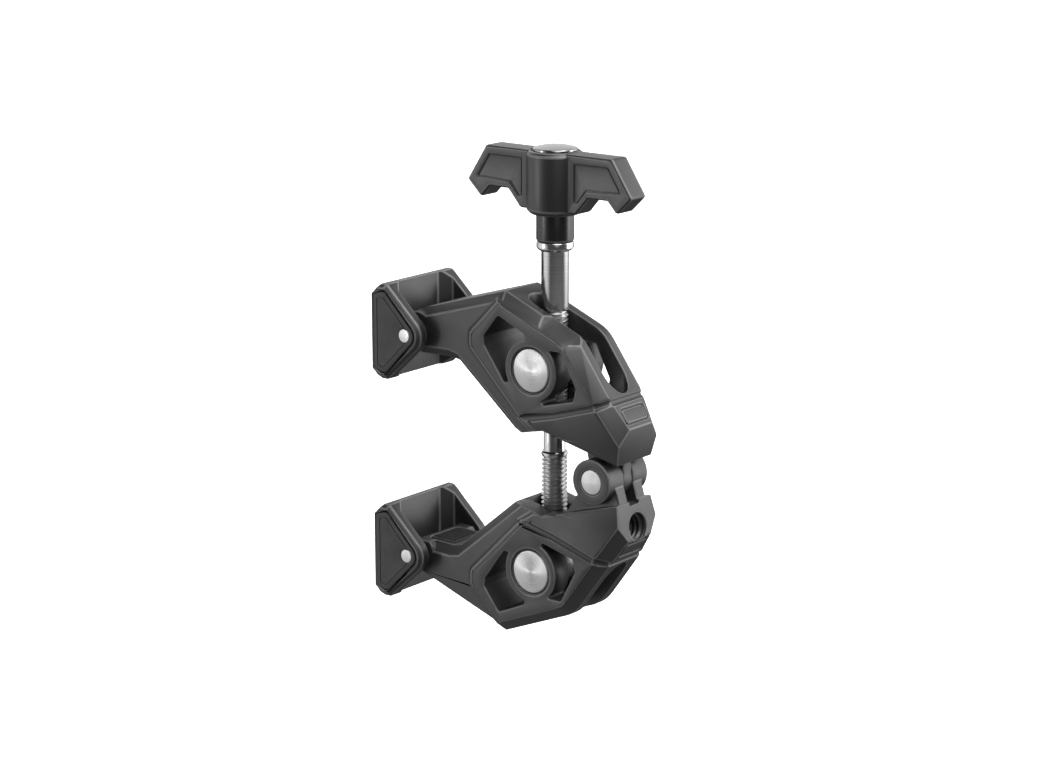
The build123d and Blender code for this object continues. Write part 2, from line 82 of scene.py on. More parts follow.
class Graph:
    """Adds and links nodes in one node tree."""

    def __init__(self, tree: bpy.types.NodeTree) -> None:
        """Keeps the tree that every later call works on."""
        self.tree = tree

    def feed(self, node: bpy.types.Node, values: dict) -> None:
        """Sets or links a node's inputs.

        Args:
            node: the node.
            values: input values or source sockets, by the input's name or index.
        """
        for key, value in values.items():
            if isinstance(value, bpy.types.NodeSocket):
                self.tree.links.new(value, node.inputs[key])
            else:
                node.inputs[key].default_value = value

    def add(self, kind: str, values: dict | None = None, **settings: object) -> bpy.types.Node:
        """Adds a node.

        Args:
            kind: the node's type name.
            values: input values or source sockets, by the input's name or index.
            settings: the node's own properties.

        Returns:
            The new node.
        """
        node = self.tree.nodes.new(kind)
        for name, value in settings.items():
            setattr(node, name, value)
        self.feed(node, values or {})
        return node

    def math(self, operation: str, first: object, second: object = 0.0,
             clamp: bool = False) -> bpy.types.NodeSocket:
        """Adds a Math node.

        Args:
            operation: the node's operation.
            first: value or socket of the first input.
            second: value or socket of the second input.
            clamp: keeps the result between 0 and 1.

        Returns:
            The node's output socket.
        """
        node = self.add("ShaderNodeMath", {0: first, 1: second}, operation=operation, use_clamp=clamp)
        return node.outputs[0]

    def vector(self, operation: str, first: object, second: object = (0.0, 0.0, 0.0)) -> bpy.types.Node:
        """Adds a Vector Math node.

        Args:
            operation: the node's operation.
            first: vector or socket of the first input.
            second: vector or socket of the second input.

        Returns:
            The node.
        """
        return self.add("ShaderNodeVectorMath", {0: first, 1: second}, operation=operation)

    def scaled(self, colour: Colour, factor: bpy.types.NodeSocket) -> bpy.types.NodeSocket:
        """Multiplies a colour by a number.

        Args:
            colour: the colour.
            factor: socket of the number.

        Returns:
            The socket of the product.
        """
        return self.add("ShaderNodeVectorMath", {0: colour, "Scale": factor}, operation="SCALE").outputs[0]

    def span(self, value: bpy.types.NodeSocket, given: tuple[float, float], wanted: tuple[float, float],
             **settings: object) -> bpy.types.NodeSocket:
        """Maps one range of a value onto another, and holds it at the ends.

        Args:
            value: socket of the value.
            given: the range that comes in.
            wanted: the range that goes out.
            settings: the node's own properties.

        Returns:
            The node's output socket.
        """
        ends = {"From Min": given[0], "From Max": given[1], "To Min": wanted[0], "To Max": wanted[1]}
        return self.add("ShaderNodeMapRange", {"Value": value, **ends}, **settings).outputs[0]


@dataclass(frozen=True)
class Finish:
    """What every finish has: a name for its material and a way to fill a material's tree."""

    slot: str

    def material(self, suffix: str = "") -> bpy.types.Material:
        """Builds the material.

        Args:
            suffix: ending of the material's name, where one finish is made for several places.

        Returns:
            The new material.
        """
        made = bpy.data.materials.new(self.slot + suffix)
        made.use_nodes = True
        made.node_tree.nodes.clear()
        graph = Graph(made.node_tree)
        shader = graph.add("ShaderNodeBsdfPrincipled")
        graph.add("ShaderNodeOutputMaterial", {"Surface": shader.outputs[0]})
        self.fill(graph, shader)
        return made

    def fill(self, graph: Graph, shader: bpy.types.Node) -> None:
        """Adds the finish's own nodes; each kind of finish has its own.

        Args:
            graph: the material's tree.
            shader: the tree's Principled shader.
        """
        raise NotImplementedError


@dataclass(frozen=True)
class BlastedBlack(Finish):
    """Black anodised or moulded surface: fine blasted grain, soft mottling, edges with wear and a painted
    highlight.
    """

    base: Colour = (0.03, 0.0305, 0.032)
    # edge: colour painted on outer bevel faces, partly wear and partly a painted highlight where reflections
    # would be.
    edge: Colour = (0.17, 0.17, 0.173)
    roughness: float = 0.42
    grain_per_m: float = 9000.0
    grain_depth: float = 0.0035 * MM
    grain_range: tuple[float, float] = (0.35, 0.72)
    speckle: float = 0.35
    clouds_per_m: float = 130.0
    edge_radius: float = 0.35 * MM
    specular: float = 0.7

    def fill(self, graph: Graph, shader: bpy.types.Node) -> None:
        """Grain in colour, roughness and bump, and outer edges painted lighter: partly wear, partly a painted
        highlight.

        Args:
            graph: the material's tree.
            shader: the tree's Principled shader.
        """
        place = graph.add("ShaderNodeTexCoord").outputs["Object"]
        grain = graph.add("ShaderNodeTexNoise", {"Vector": place, "Scale": self.grain_per_m, "Detail": 3.0,
                                                 "Roughness": 0.65}).outputs[0]
        cloud = graph.add("ShaderNodeTexNoise", {"Vector": place, "Scale": self.clouds_per_m,
                                                 "Detail": 4.0}).outputs[0]
        rounded = graph.add("ShaderNodeBevel", {"Radius": self.edge_radius}, samples=4).outputs[0]
        # Outer bevel faces get the edge colour in patches: partly wear, partly a painted highlight.
        edge = graph.add("ShaderNodeAttribute", attribute_name=EDGE_MASK).outputs["Fac"]
        edge_wear_and_highlight = graph.math("MULTIPLY", edge, graph.math("ADD", cloud, 0.3, clamp=True))
        specks = graph.span(grain, self.grain_range, (1.0 - self.speckle, 1.0 + self.speckle))
        colour = graph.add("ShaderNodeMix", {0: edge_wear_and_highlight, 6: graph.scaled(self.base, specks),
                                             7: (*self.edge, 1.0)}, data_type="RGBA").outputs[2]
        rough = graph.span(cloud, NOISE_MIDDLE, (self.roughness - 0.035, self.roughness + 0.045))
        bump = graph.add("ShaderNodeBump", {"Strength": 1.0, "Distance": self.grain_depth, "Height": grain,
                                            "Normal": rounded}).outputs[0]
        graph.feed(shader, {"Specular IOR Level": self.specular, "Base Color": colour, "Roughness": rough,
                            "Normal": bump})


@dataclass(frozen=True)
class TurnedSteel(Finish):
    """Turned or ground steel whose fine marks run round an axis."""

    colour: Colour = (0.72, 0.72, 0.73)
    roughness: float = 0.22
    anisotropy: float = 0.7
    axis: Axis = Axis.Z
    centre: tuple[float, float, float] = (0.0, 0.0, 0.0)
    marks_per_m: float = 4500.0
    mark_depth: float = 0.004 * MM
    mark_shade: float = 0.12
    dust_per_m: float = 400.0

    def fill(self, graph: Graph, shader: bpy.types.Node) -> None:
        """Rings of marks in colour and bump, with the gloss stretched across them.

        Args:
            graph: the material's tree.
            shader: the tree's Principled shader.
        """
        place = graph.add("ShaderNodeTexCoord").outputs["Object"]
        local = graph.vector("SUBTRACT", place, self.centre).outputs[0]
        bar = (0.0, 1.0, 0.0) if self.axis is Axis.Y else (0.0, 0.0, 1.0)
        sideways = graph.vector("CROSS_PRODUCT", bar, local).outputs[0]
        round_it = graph.vector("NORMALIZE", sideways).outputs[0]
        radius = graph.vector("LENGTH", sideways).outputs["Value"]
        along = graph.vector("DOT_PRODUCT", local, bar).outputs["Value"]
        lines = graph.add("ShaderNodeCombineXYZ", {0: radius, 1: along}).outputs[0]
        marks = graph.add("ShaderNodeTexNoise", {"Vector": lines, "Scale": self.marks_per_m,
                                                 "Detail": 2.0}).outputs[0]
        dust = graph.add("ShaderNodeTexNoise", {"Vector": place, "Scale": self.dust_per_m,
                                                "Detail": 5.0}).outputs[0]
        shade = graph.span(marks, NOISE_MIDDLE, (1.0 - self.mark_shade, 1.0))
        rough = graph.span(dust, NOISE_MIDDLE, (self.roughness * 0.85, self.roughness * 1.2))
        bump = graph.add("ShaderNodeBump", {"Strength": 1.0, "Distance": self.mark_depth,
                                            "Height": marks}).outputs[0]
        graph.feed(shader, {"Metallic": 1.0, "Anisotropic": self.anisotropy, "Tangent": round_it,
                            "Base Color": graph.scaled(self.colour, shade), "Roughness": rough,
                            "Normal": bump})


@dataclass(frozen=True)
class Rubber(Finish):
    """Matt rubber with a fine stipple and a little dust in it."""

    base: Colour = (0.024, 0.024, 0.025)
    roughness: float = 0.62
    roughness_swing: float = 0.08
    stipple_per_m: float = 5200.0
    stipple_depth: float = 0.03 * MM
    dust_per_m: float = 220.0
    dust_range: tuple[float, float] = (0.35, 0.75)
    dust_shade: tuple[float, float] = (0.8, 1.5)

    def fill(self, graph: Graph, shader: bpy.types.Node) -> None:
        """Stipple in bump, with a faint dusty variation of colour and roughness.

        Args:
            graph: the material's tree.
            shader: the tree's Principled shader.
        """
        place = graph.add("ShaderNodeTexCoord").outputs["Object"]
        stipple = graph.add("ShaderNodeTexVoronoi", {"Vector": place, "Scale": self.stipple_per_m}).outputs[0]
        dust = graph.add("ShaderNodeTexNoise", {"Vector": place, "Scale": self.dust_per_m,
                                                "Detail": 6.0}).outputs[0]
        fleck = graph.span(dust, self.dust_range, self.dust_shade)
        rough = graph.span(dust, (0.0, 1.0), (self.roughness - self.roughness_swing,
                                              self.roughness + self.roughness_swing))
        bump = graph.add("ShaderNodeBump", {"Strength": 0.8, "Distance": self.stipple_depth,
                                            "Height": stipple}).outputs[0]
        graph.feed(shader, {"Base Color": graph.scaled(self.base, fleck), "Roughness": rough, "Normal": bump})


def linked_object(name: str, mesh: bpy.types.Mesh) -> bpy.types.Object:
    """Puts a mesh into the scene as an object at the origin.

    Args:
        name: the object's name.
        mesh: its mesh, already in place.

    Returns:
        The new object.
    """
    made = bpy.data.objects.new(name, mesh)
    bpy.context.scene.collection.objects.link(made)
    return made


def apply_modifiers(piece: bpy.types.Object) -> bpy.types.Object:
    """Turns what the modifiers show into the piece's own plain mesh.

    Args:
        piece: an object with live modifiers.

    Returns:
        The same object, without modifiers.
    """
    graph = bpy.context.evaluated_depsgraph_get()
    mesh = bpy.data.meshes.new_from_object(piece.evaluated_get(graph))
    piece.modifiers.clear()
    piece.data = mesh
    mesh.name = piece.name
    return piece


def tidy_faces(mesh: bpy.types.Mesh) -> None:
    """Merges what a bevel leaves on top of itself and splits large faces into plain triangles.

    Args:
        mesh: the mesh, changed in place.
    """
    work = bmesh.new()
    work.from_mesh(mesh)
    bmesh.ops.remove_doubles(work, verts=work.verts, dist=0.002 * MM)
    bmesh.ops.dissolve_degenerate(work, dist=0.001 * MM, edges=work.edges)
    large = [face for face in work.faces if len(face.verts) > 4]
    bmesh.ops.triangulate(work, faces=large, quad_method="BEAUTY", ngon_method="BEAUTY")
    work.to_mesh(mesh)
    work.free()


def mark_outer_edges(mesh: bpy.types.Mesh) -> None:
    """Marks the bevel's own faces along outer edges, so that a finish can paint them lighter as wear and a
    painted highlight.

    Args:
        mesh: a bevelled mesh whose bevel faces wear material 1.
    """
    work = bmesh.new()
    work.from_mesh(mesh)
    outer = []
    for face in work.faces:
        bent = [e.calc_face_angle_signed(0.0) for e in face.edges if len(e.link_faces) == 2]
        outer.append(1.0 if face.material_index == 1 and sum(bent) > 0 else 0.0)
        face.material_index = 0
    work.to_mesh(mesh)
    work.free()
    mask = mesh.attributes.new(EDGE_MASK, "FLOAT", "FACE")
    mask.data.foreach_set("value", outer)


def shade_by_angle(mesh: bpy.types.Mesh, degrees: float = 32.0) -> None:
    """Smooth shading, except across edges sharper than the angle.

    Args:
        mesh: the mesh, changed in place.
        degrees: the angle.
    """
    mesh.shade_smooth()
    limit = math.radians(degrees)
    work = bmesh.new()
    work.from_mesh(mesh)
    for edge in work.edges:
        edge.smooth = len(edge.link_faces) == 2 and edge.calc_face_angle(0.0) < limit
    work.to_mesh(mesh)
    work.free()


class EdgeRounder:
    """Rounds the sharp edges of a CAD node's copy, each as far as its neighbours allow."""

    SHARP = math.radians(24.0)
    SAME_PLANE = math.radians(0.6)
    STRAIGHT_ON = math.cos(math.radians(28.0))
    SHARE_OF_FACE = 0.38
    PLACES_ALONG = (0.08, 0.5, 0.92)
    NEARLY_IN_LINE = 0.97
    EASING_ROUNDS = 3
    MERGE = 0.0005 * MM

    def __init__(self, width: float, segments: int = 3) -> None:
        """Keeps the bevel's size.

        Args:
            width: its greatest width in metres.
            segments: faces across it.
        """
        self.width = width
        self.segments = segments

    def room_across(self, face: bmesh.types.BMFace, edge: bmesh.types.BMEdge) -> float:
        """Shortest distance from an edge straight across a face to its next sharp edge.

        Args:
            face: one of the edge's two faces.
            edge: the edge.

        Returns:
            The distance in metres, or a large number where nothing sharp is met.
        """
        run = edge.verts[1].co - edge.verts[0].co
        length = run.length
        run.normalize()
        loop = next(one for one in edge.link_loops if one.face is face)
        inward = face.normal.cross(loop.link_loop_next.vert.co - loop.vert.co).normalized()
        nearest = 1.0
        for share_along in self.PLACES_ALONG:
            start = edge.verts[0].co + run * (length * share_along)
            for other in face.edges:
                if other is edge or other.calc_face_angle(0.0) < self.SHARP:
                    continue
                first, second = (vert.co - start for vert in other.verts)
                low, high = first.dot(run), second.dot(run)
                if low * high > 0 or abs(low - high) < 1e-9:
                    continue
                share = low / (low - high)
                across = first.dot(inward) * (1 - share) + second.dot(inward) * share
                if across > 1e-7 and not set(other.verts) & set(edge.verts):
                    nearest = min(nearest, across)
        return nearest

    def chain_length(self, edge: bmesh.types.BMEdge, start: bmesh.types.BMVert,
                     sharp: set[bmesh.types.BMEdge]) -> float:
        """Length of the sharp line that leaves a vertex along an edge, up to its next real corner.

        Args:
            edge: the line's first edge.
            start: the vertex that it leaves.
            sharp: every sharp edge of the mesh.

        Returns:
            The length in metres; it stops soon after three bevel widths.
        """
        total, vert = edge.calc_length(), edge.other_vert(start)
        while total < 3 * self.width:
            onward = [e for e in vert.link_edges if e in sharp and e is not edge]
            if len(onward) != 1:
                break
            before = (vert.co - edge.other_vert(vert).co).normalized()
            after = (onward[0].other_vert(vert).co - vert.co).normalized()
            if before.dot(after) < self.STRAIGHT_ON:
                break
            edge, vert = onward[0], onward[0].other_vert(vert)
            total += edge.calc_length()
        return total

    def room_at_corners(self, room: dict[bmesh.types.BMEdge, float]) -> None:
        """Narrows each edge's room to the length of the sharp lines that it meets at a corner.

        Args:
            room: metres of room by sharp edge, changed in place.
        """
        sharp = set(room)
        for vert in {v for e in sharp for v in e.verts}:
            met = [e for e in vert.link_edges if e in sharp]
            if len(met) < 2:
                continue
            away = [(e.other_vert(vert).co - vert.co).normalized() for e in met]
            if len(met) == 2 and away[0].dot(away[1]) < -self.STRAIGHT_ON:
                continue
            limit = self.NEARLY_IN_LINE
            reach = [self.chain_length(e, vert, sharp) for e in met]
            for k, edge in enumerate(met):
                others = [reach[n] for n in range(len(met)) if n != k and abs(away[n].dot(away[k])) < limit]
                room[edge] = min([room[edge]] + others)

    def weigh(self, work: bmesh.types.BMesh) -> None:
        """Writes each sharp edge's share of the bevel's width into the mesh.

        Args:
            work: the mesh, changed in place.
        """
        layer = work.edges.layers.float.new("bevel_weight_edge")
        sharp = [e for e in work.edges if len(e.link_faces) == 2 and e.calc_face_angle(0.0) > self.SHARP]
        room = {e: min(self.room_across(face, e) for face in e.link_faces) for e in sharp}
        self.room_at_corners(room)
        shares = {e: min(1.0, self.SHARE_OF_FACE * room[e] / self.width) for e in sharp}
        for _ in range(self.EASING_ROUNDS):
            eased = {}
            for edge, share in shares.items():
                near = [shares[n] for v in edge.verts for n in v.link_edges if n in shares and n is not edge]
                eased[edge] = min(share, (share + sum(near)) / (1 + len(near)) if near else share)
            shares = eased
        for edge, share in shares.items():
            edge[layer] = share

    def copy_of(self, node: str, name: str) -> bpy.types.Object:
        """Makes a rounded copy of a CAD node.

        Args:
            node: the CAD node.
            name: the copy's name.

        Returns:
            The copy as a new object with a plain mesh.
        """
        mesh = bpy.data.meshes.new(name)
        work = bmesh.new()
        work.from_mesh(frame["nodes"][node].data)
        bmesh.ops.remove_doubles(work, verts=work.verts, dist=self.MERGE)
        bmesh.ops.dissolve_limit(work, angle_limit=self.SAME_PLANE, verts=work.verts, edges=work.edges,
                                 use_dissolve_boundaries=False)
        bmesh.ops.triangulate(work, faces=work.faces, quad_method="BEAUTY", ngon_method="BEAUTY")
        work.normal_update()
        self.weigh(work)
        work.to_mesh(mesh)
        work.free()
        old_normals = mesh.attributes.get("custom_normal")
        if old_normals:
            mesh.attributes.remove(old_normals)
        piece = linked_object(name, mesh)
        mesh.shade_smooth()
        bevel = piece.modifiers.new("rounded edges", "BEVEL")
        bevel.width = self.width
        bevel.segments = self.segments
        bevel.limit_method = "WEIGHT"
        bevel.use_clamp_overlap = False
        bevel.loop_slide = False
        bevel.material = 1
        mesh.materials.append(None)
        mesh.materials.append(None)
        apply_modifiers(piece)
        tidy_faces(piece.data)
        mark_outer_edges(piece.data)
        shade_by_angle(piece.data)
        return piece


def hand_over(piece: bpy.types.Object, body: str, material: bpy.types.Material,
              nodes: Sequence[str] = ()) -> bpy.types.Object:
    """Dresses a finished piece and ties it to its body.

    Args:
        piece: the piece, in place.
        body: the CAD body that it moves with.
        material: the material that it wears.
        nodes: the CAD nodes that it stands for.

    Returns:
        The same piece.
    """
    piece.data.materials.clear()
    piece.data.materials.append(material)
    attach(piece, body)
    if nodes:
        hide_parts(*nodes)
    LOG.info("%s rides on %s: %d faces", piece.name, body, len(piece.data.polygons))
    return piece


def lathe(name: str, profile: Iterable[tuple[float, float]], centre: tuple[float, float],
          steps: int = 96) -> bpy.types.Object:
    """Turns a profile round a vertical axis into a closed piece.

    Args:
        name: the piece's name.
        profile: (radius, height) pairs in metres, from the lower pole to the upper one.
        centre: the axis's X and Y.
        steps: faces round the axis.

    Returns:
        The new object.
    """
    work = bmesh.new()
    rings: list[list[bmesh.types.BMVert]] = []
    for radius, height in profile:
        if radius < 1e-9:
            rings.append([work.verts.new((*centre, height))])
            continue
        turns = (2 * math.pi * k / steps for k in range(steps))
        rings.append([work.verts.new((centre[0] + radius * math.cos(t), centre[1] + radius * math.sin(t),
                                      height)) for t in turns])
    for low, high in zip(rings, rings[1:]):
        for k in range(steps):
            corners = [low[k % len(low)], low[(k + 1) % len(low)],
                       high[(k + 1) % len(high)], high[k % len(high)]]
            work.faces.new(dict.fromkeys(corners))
    bmesh.ops.recalc_face_normals(work, faces=work.faces)
    mesh = bpy.data.meshes.new(name)
    work.to_mesh(mesh)
    work.free()
    piece = linked_object(name, mesh)
    shade_by_angle(mesh)
    return piece


class NodeShape:
    """A Geometry Nodes tree with named inputs, turned into a plain mesh once it is set."""

    def __init__(self, name: str) -> None:
        """Starts an empty tree with one geometry output.

        Args:
            name: the tree's name.
        """
        self.tree = bpy.data.node_groups.new(name, "GeometryNodeTree")
        self.graph = Graph(self.tree)
        self.tree.interface.new_socket("Geometry", in_out="OUTPUT", socket_type="NodeSocketGeometry")
        self.names: dict[str, str] = {}

    def number(self, name: str, kind: str = "NodeSocketFloat") -> None:
        """Adds a named input to the tree.

        Args:
            name: the input's name.
            kind: its socket type.
        """
        made = self.tree.interface.new_socket(name, in_out="INPUT", socket_type=kind)
        self.names[name] = made.identifier

    def close(self, geometry: bpy.types.NodeSocket, material: bpy.types.NodeSocket) -> None:
        """Ends the tree in Realize Instances and Set Material.

        Args:
            geometry: the finished shape.
            material: what it wears.
        """
        real = self.graph.add("GeometryNodeRealizeInstances", {0: geometry})
        dressed = self.graph.add("GeometryNodeSetMaterial",
                                 {"Geometry": real.outputs[0], "Material": material})
        self.graph.add("NodeGroupOutput", {0: dressed.outputs[0]})

    def mesh_piece(self, name: str, values: dict[str, object], place: Matrix) -> bpy.types.Object:
        """Evaluates the tree with the given values.

        Args:
            name: the piece's name.
            values: the tree's inputs by name.
            place: where the tree's own origin goes.

        Returns:
            The piece as a plain closed mesh.
        """
        piece = linked_object(name, bpy.data.meshes.new(name))
        modifier = piece.modifiers.new(self.tree.name, "NODES")
        modifier.node_group = self.tree
        for key, value in values.items():
            modifier[self.names[key]] = value
        apply_modifiers(piece)
        work = bmesh.new()
        work.from_mesh(piece.data)
        bmesh.ops.remove_doubles(work, verts=work.verts, dist=0.0005 * MM)
        bmesh.ops.dissolve_degenerate(work, dist=0.0002 * MM, edges=work.edges)
        bmesh.ops.recalc_face_normals(work, faces=work.faces)
        work.transform(place)
        work.to_mesh(piece.data)
        work.free()
        shade_by_angle(piece.data, 40.0)
        return piece


class ThreadShape(NodeShape):
    """One screw thread along Z, faded out and closed at both ends."""

    COLUMNS = 64
    ROWS_PER_TURN = 12
    FADE_TURNS = 0.7
    RIDGE_PHASE = (0.14, 0.8)
    MERGE = 0.0008 * MM

    def __init__(self) -> None:
        """Builds the tree: a sheared grid rolled up so that each row follows the helix."""
        super().__init__("screw thread")
        for name in ("Valley Radius", "Ridge Radius", "Pitch", "Length"):
            self.number(name)
        self.number("Inside", "NodeSocketBool")
        self.number("Finish", "NodeSocketMaterial")
        graph = self.graph
        given = graph.add("NodeGroupInput").outputs
        pitch, length = given["Pitch"], given["Length"]
        turns = graph.math("CEIL", graph.math("ADD", graph.math("DIVIDE", length, pitch), 1.0))
        rows = graph.math("ADD", graph.math("MULTIPLY", turns, float(self.ROWS_PER_TURN)), 1.0)
        grid = graph.add("GeometryNodeMeshGrid", {"Size X": 1.0, "Size Y": 1.0,
                                                  "Vertices X": self.COLUMNS + 1, "Vertices Y": rows})
        at = graph.add("ShaderNodeSeparateXYZ", {0: graph.add("GeometryNodeInputPosition").outputs[0]})
        share_round = graph.math("ADD", at.outputs[0], 0.5)
        turn = graph.math("MULTIPLY", graph.math("ADD", at.outputs[1], 0.5), turns)
        turned = graph.math("SUBTRACT", graph.math("ADD", turn, share_round), 1.0)
        rise = graph.math("MULTIPLY", turned, pitch)
        height = graph.math("MAXIMUM", graph.math("MINIMUM", rise, length), 0.0)
        phase = graph.math("ABSOLUTE", graph.math("SUBTRACT", graph.math("MULTIPLY", graph.math(
            "FRACT", graph.math("ADD", turn, 1e-4)), 2.0), 1.0))
        ridge = graph.span(phase, self.RIDGE_PHASE, (1.0, 0.0))
        to_end = graph.math("MINIMUM", height, graph.math("SUBTRACT", length, height))
        fade = graph.math("DIVIDE", to_end, graph.math("MULTIPLY", pitch, self.FADE_TURNS), clamp=True)
        depth = graph.math("SUBTRACT", given["Ridge Radius"], given["Valley Radius"])
        raised = graph.math("MULTIPLY", depth, graph.math("MULTIPLY", ridge, fade))
        radius = graph.math("ADD", given["Valley Radius"], raised)
        angle = graph.math("MULTIPLY", share_round, 2 * math.pi)
        at_x = graph.math("MULTIPLY", radius, graph.math("COSINE", angle))
        at_y = graph.math("MULTIPLY", radius, graph.math("SINE", angle))
        where = graph.add("ShaderNodeCombineXYZ", {0: at_x, 1: at_y, 2: height})
        rolled = graph.add("GeometryNodeSetPosition",
                           {"Geometry": grid.outputs[0], "Position": where.outputs[0]})
        rim = {"Vertices": self.COLUMNS, "Radius": given["Valley Radius"]}
        disc = graph.add("GeometryNodeMeshCircle", rim, fill_type="NGON")
        top = graph.add("ShaderNodeCombineXYZ", {2: length})
        lid = graph.add("GeometryNodeTransform", {"Geometry": disc.outputs[0], "Translation": top.outputs[0]})
        lids = graph.add("GeometryNodeJoinGeometry")
        graph.tree.links.new(disc.outputs[0], lids.inputs[0])
        graph.tree.links.new(lid.outputs[0], lids.inputs[0])
        wall = graph.add("GeometryNodeMeshCylinder", {**rim, "Depth": length}, fill_type="NONE")
        middle = graph.add("ShaderNodeCombineXYZ", {2: graph.math("MULTIPLY", length, 0.5)})
        sleeve = graph.add("GeometryNodeTransform", {"Geometry": wall.outputs[0],
                                                     "Translation": middle.outputs[0]})
        closing = graph.add("GeometryNodeSwitch", input_type="GEOMETRY")
        graph.tree.links.new(given["Inside"], closing.inputs[0])
        graph.tree.links.new(lids.outputs[0], closing.inputs[1])
        graph.tree.links.new(sleeve.outputs[0], closing.inputs[2])
        joined = graph.add("GeometryNodeJoinGeometry")
        graph.tree.links.new(rolled.outputs[0], joined.inputs[0])
        graph.tree.links.new(closing.outputs[0], joined.inputs[0])
        merged = graph.add("GeometryNodeMergeByDistance", {"Geometry": joined.outputs[0],
                                                           "Distance": self.MERGE})
        self.close(merged.outputs[0], given["Finish"])


class RibShape(NodeShape):
    """A row of half-round ribs along X, each lying along Y, on the plane Z = 0."""

    def __init__(self) -> None:
        """Builds the tree: a line of points with one rounded bar on each."""
        super().__init__("rubber ribs")
        self.number("Count", "NodeSocketInt")
        for name in ("Spacing", "Rib Radius", "Rib Length"):
            self.number(name)
        self.number("Finish", "NodeSocketMaterial")
        graph = self.graph
        given = graph.add("NodeGroupInput").outputs
        reach = graph.math("MULTIPLY", graph.math("SUBTRACT", given["Count"], 1.0), given["Spacing"])
        start = graph.add("ShaderNodeCombineXYZ", {0: graph.math("MULTIPLY", reach, -0.5)})
        step = graph.add("ShaderNodeCombineXYZ", {0: given["Spacing"]})
        line = graph.add("GeometryNodeMeshLine", {"Count": given["Count"], "Start Location": start.outputs[0],
                                                  "Offset": step.outputs[0]})
        bar = graph.add("GeometryNodeMeshCylinder", {"Vertices": 12, "Radius": given["Rib Radius"],
                                                     "Depth": given["Rib Length"]})
        laid = graph.add("GeometryNodeTransform", {"Geometry": bar.outputs[0],
                                                   "Rotation": (math.pi / 2, 0.0, 0.0)})
        placed = graph.add("GeometryNodeInstanceOnPoints", {"Points": line.outputs[0],
                                                            "Instance": laid.outputs[0]})
        self.close(placed.outputs[0], given["Finish"])


@dataclass
class Workshop:
    """Materials and node shapes that several sub-assemblies share."""

    jaw: bpy.types.Material = field(init=False)
    handle: bpy.types.Material = field(init=False)
    sleeve: bpy.types.Material = field(init=False)
    shoe: bpy.types.Material = field(init=False)
    plate: bpy.types.Material = field(init=False)
    pad: bpy.types.Material = field(init=False)
    thread: ThreadShape = field(init=False)
    ribs: RibShape = field(init=False)

    def __post_init__(self) -> None:
        """Makes the shared finishes and shapes once."""
        self.jaw = BlastedBlack("jaw_aluminium").material()
        self.handle = BlastedBlack("handle_aluminium", base=(0.028, 0.028, 0.0295), roughness=0.36,
                                   grain_per_m=7000.0, speckle=0.45).material()
        self.sleeve = BlastedBlack("sleeve_black", base=(0.012, 0.012, 0.013), roughness=0.27,
                                   grain_depth=0.001 * MM, speckle=0.15).material()
        # The shoe's edge colour is the painted highlight and wear on its outer bevel faces.
        self.shoe = BlastedBlack("shoe_plastic", base=(0.026, 0.026, 0.027), roughness=0.42,
                                 grain_per_m=6000.0, grain_depth=0.006 * MM,
                                 edge=(0.18, 0.18, 0.183)).material()
        self.plate = Rubber("plate_rubber", base=(0.042, 0.042, 0.043), roughness=0.5).material()
        self.pad = Rubber("pad_rubber").material()
        self.thread = ThreadShape()
        self.ribs = RibShape()


def box_centre(node: str) -> Vector:
    """Middle of a CAD node's box.

    Args:
        node: the CAD node.

    Returns:
        The point, in metres.
    """
    low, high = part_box(node)
    return (low + high) / 2


@dataclass
class Jaw:
    """One jaw with its barrel nut and its rubber grip pad."""

    side: str
    shop: Workshop
    edge_radius: float = 0.3 * MM
    rib_spacing: float = 0.75 * MM
    rib_radius: float = 0.26 * MM

    def build(self) -> None:
        """Rounds the casting's edges and dresses the nut and the pad."""
        body = f"{self.side}_jaw"
        casting = EdgeRounder(self.edge_radius).copy_of(body, f"{self.side}_jaw_casting")
        hand_over(casting, body, self.shop.jaw, [body])
        self.build_nut()
        self.build_pad(body)

    def build_nut(self) -> None:
        """Barrel nut with concentric turning marks on both ends."""
        node = f"{self.side}_barrel_nut"
        finish = TurnedSteel("nut_steel", colour=(0.56, 0.56, 0.565), axis=Axis.Y,
                             centre=tuple(box_centre(node)), roughness=0.3, anisotropy=0.85,
                             marks_per_m=5200.0, mark_depth=0.0012 * MM, mark_shade=0.2)
        nut = EdgeRounder(0.12 * MM).copy_of(node, f"{self.side}_nut_turned")
        hand_over(nut, f"{self.side}_nut", finish.material(f"_{self.side}"), [node])

    def build_pad(self, body: str) -> None:
        """Grip pad: a rounded block with a row of ribs on its free face.

        Args:
            body: the jaw's body.
        """
        node = f"{self.side}_grip_pad"
        pad = EdgeRounder(0.2 * MM).copy_of(node, f"{self.side}_grip_block")
        low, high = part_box(node)
        free = low.z if self.side == "upper" else high.z
        inward = 1.0 if self.side == "upper" else -1.0
        sunk = free + inward * self.rib_radius
        for vertex in pad.data.vertices:
            if (vertex.co.z - sunk) * inward < 0:
                vertex.co.z = sunk
        hand_over(pad, body, self.shop.pad, [node])
        size = high - low
        count = int((size.y - 1.2 * MM) / self.rib_spacing)
        place = Matrix.Translation((box_centre(node).x, 0.0, sunk)) @ Matrix.Rotation(math.pi / 2, 4, "Z")
        values = {"Count": count, "Spacing": self.rib_spacing, "Rib Radius": self.rib_radius * 0.96,
                  "Rib Length": size.x - 1.0 * MM, "Finish": self.shop.pad}
        ribs = self.shop.ribs.mesh_piece(f"{self.side}_grip_ribs", values, place)
        hand_over(ribs, body, self.shop.pad)


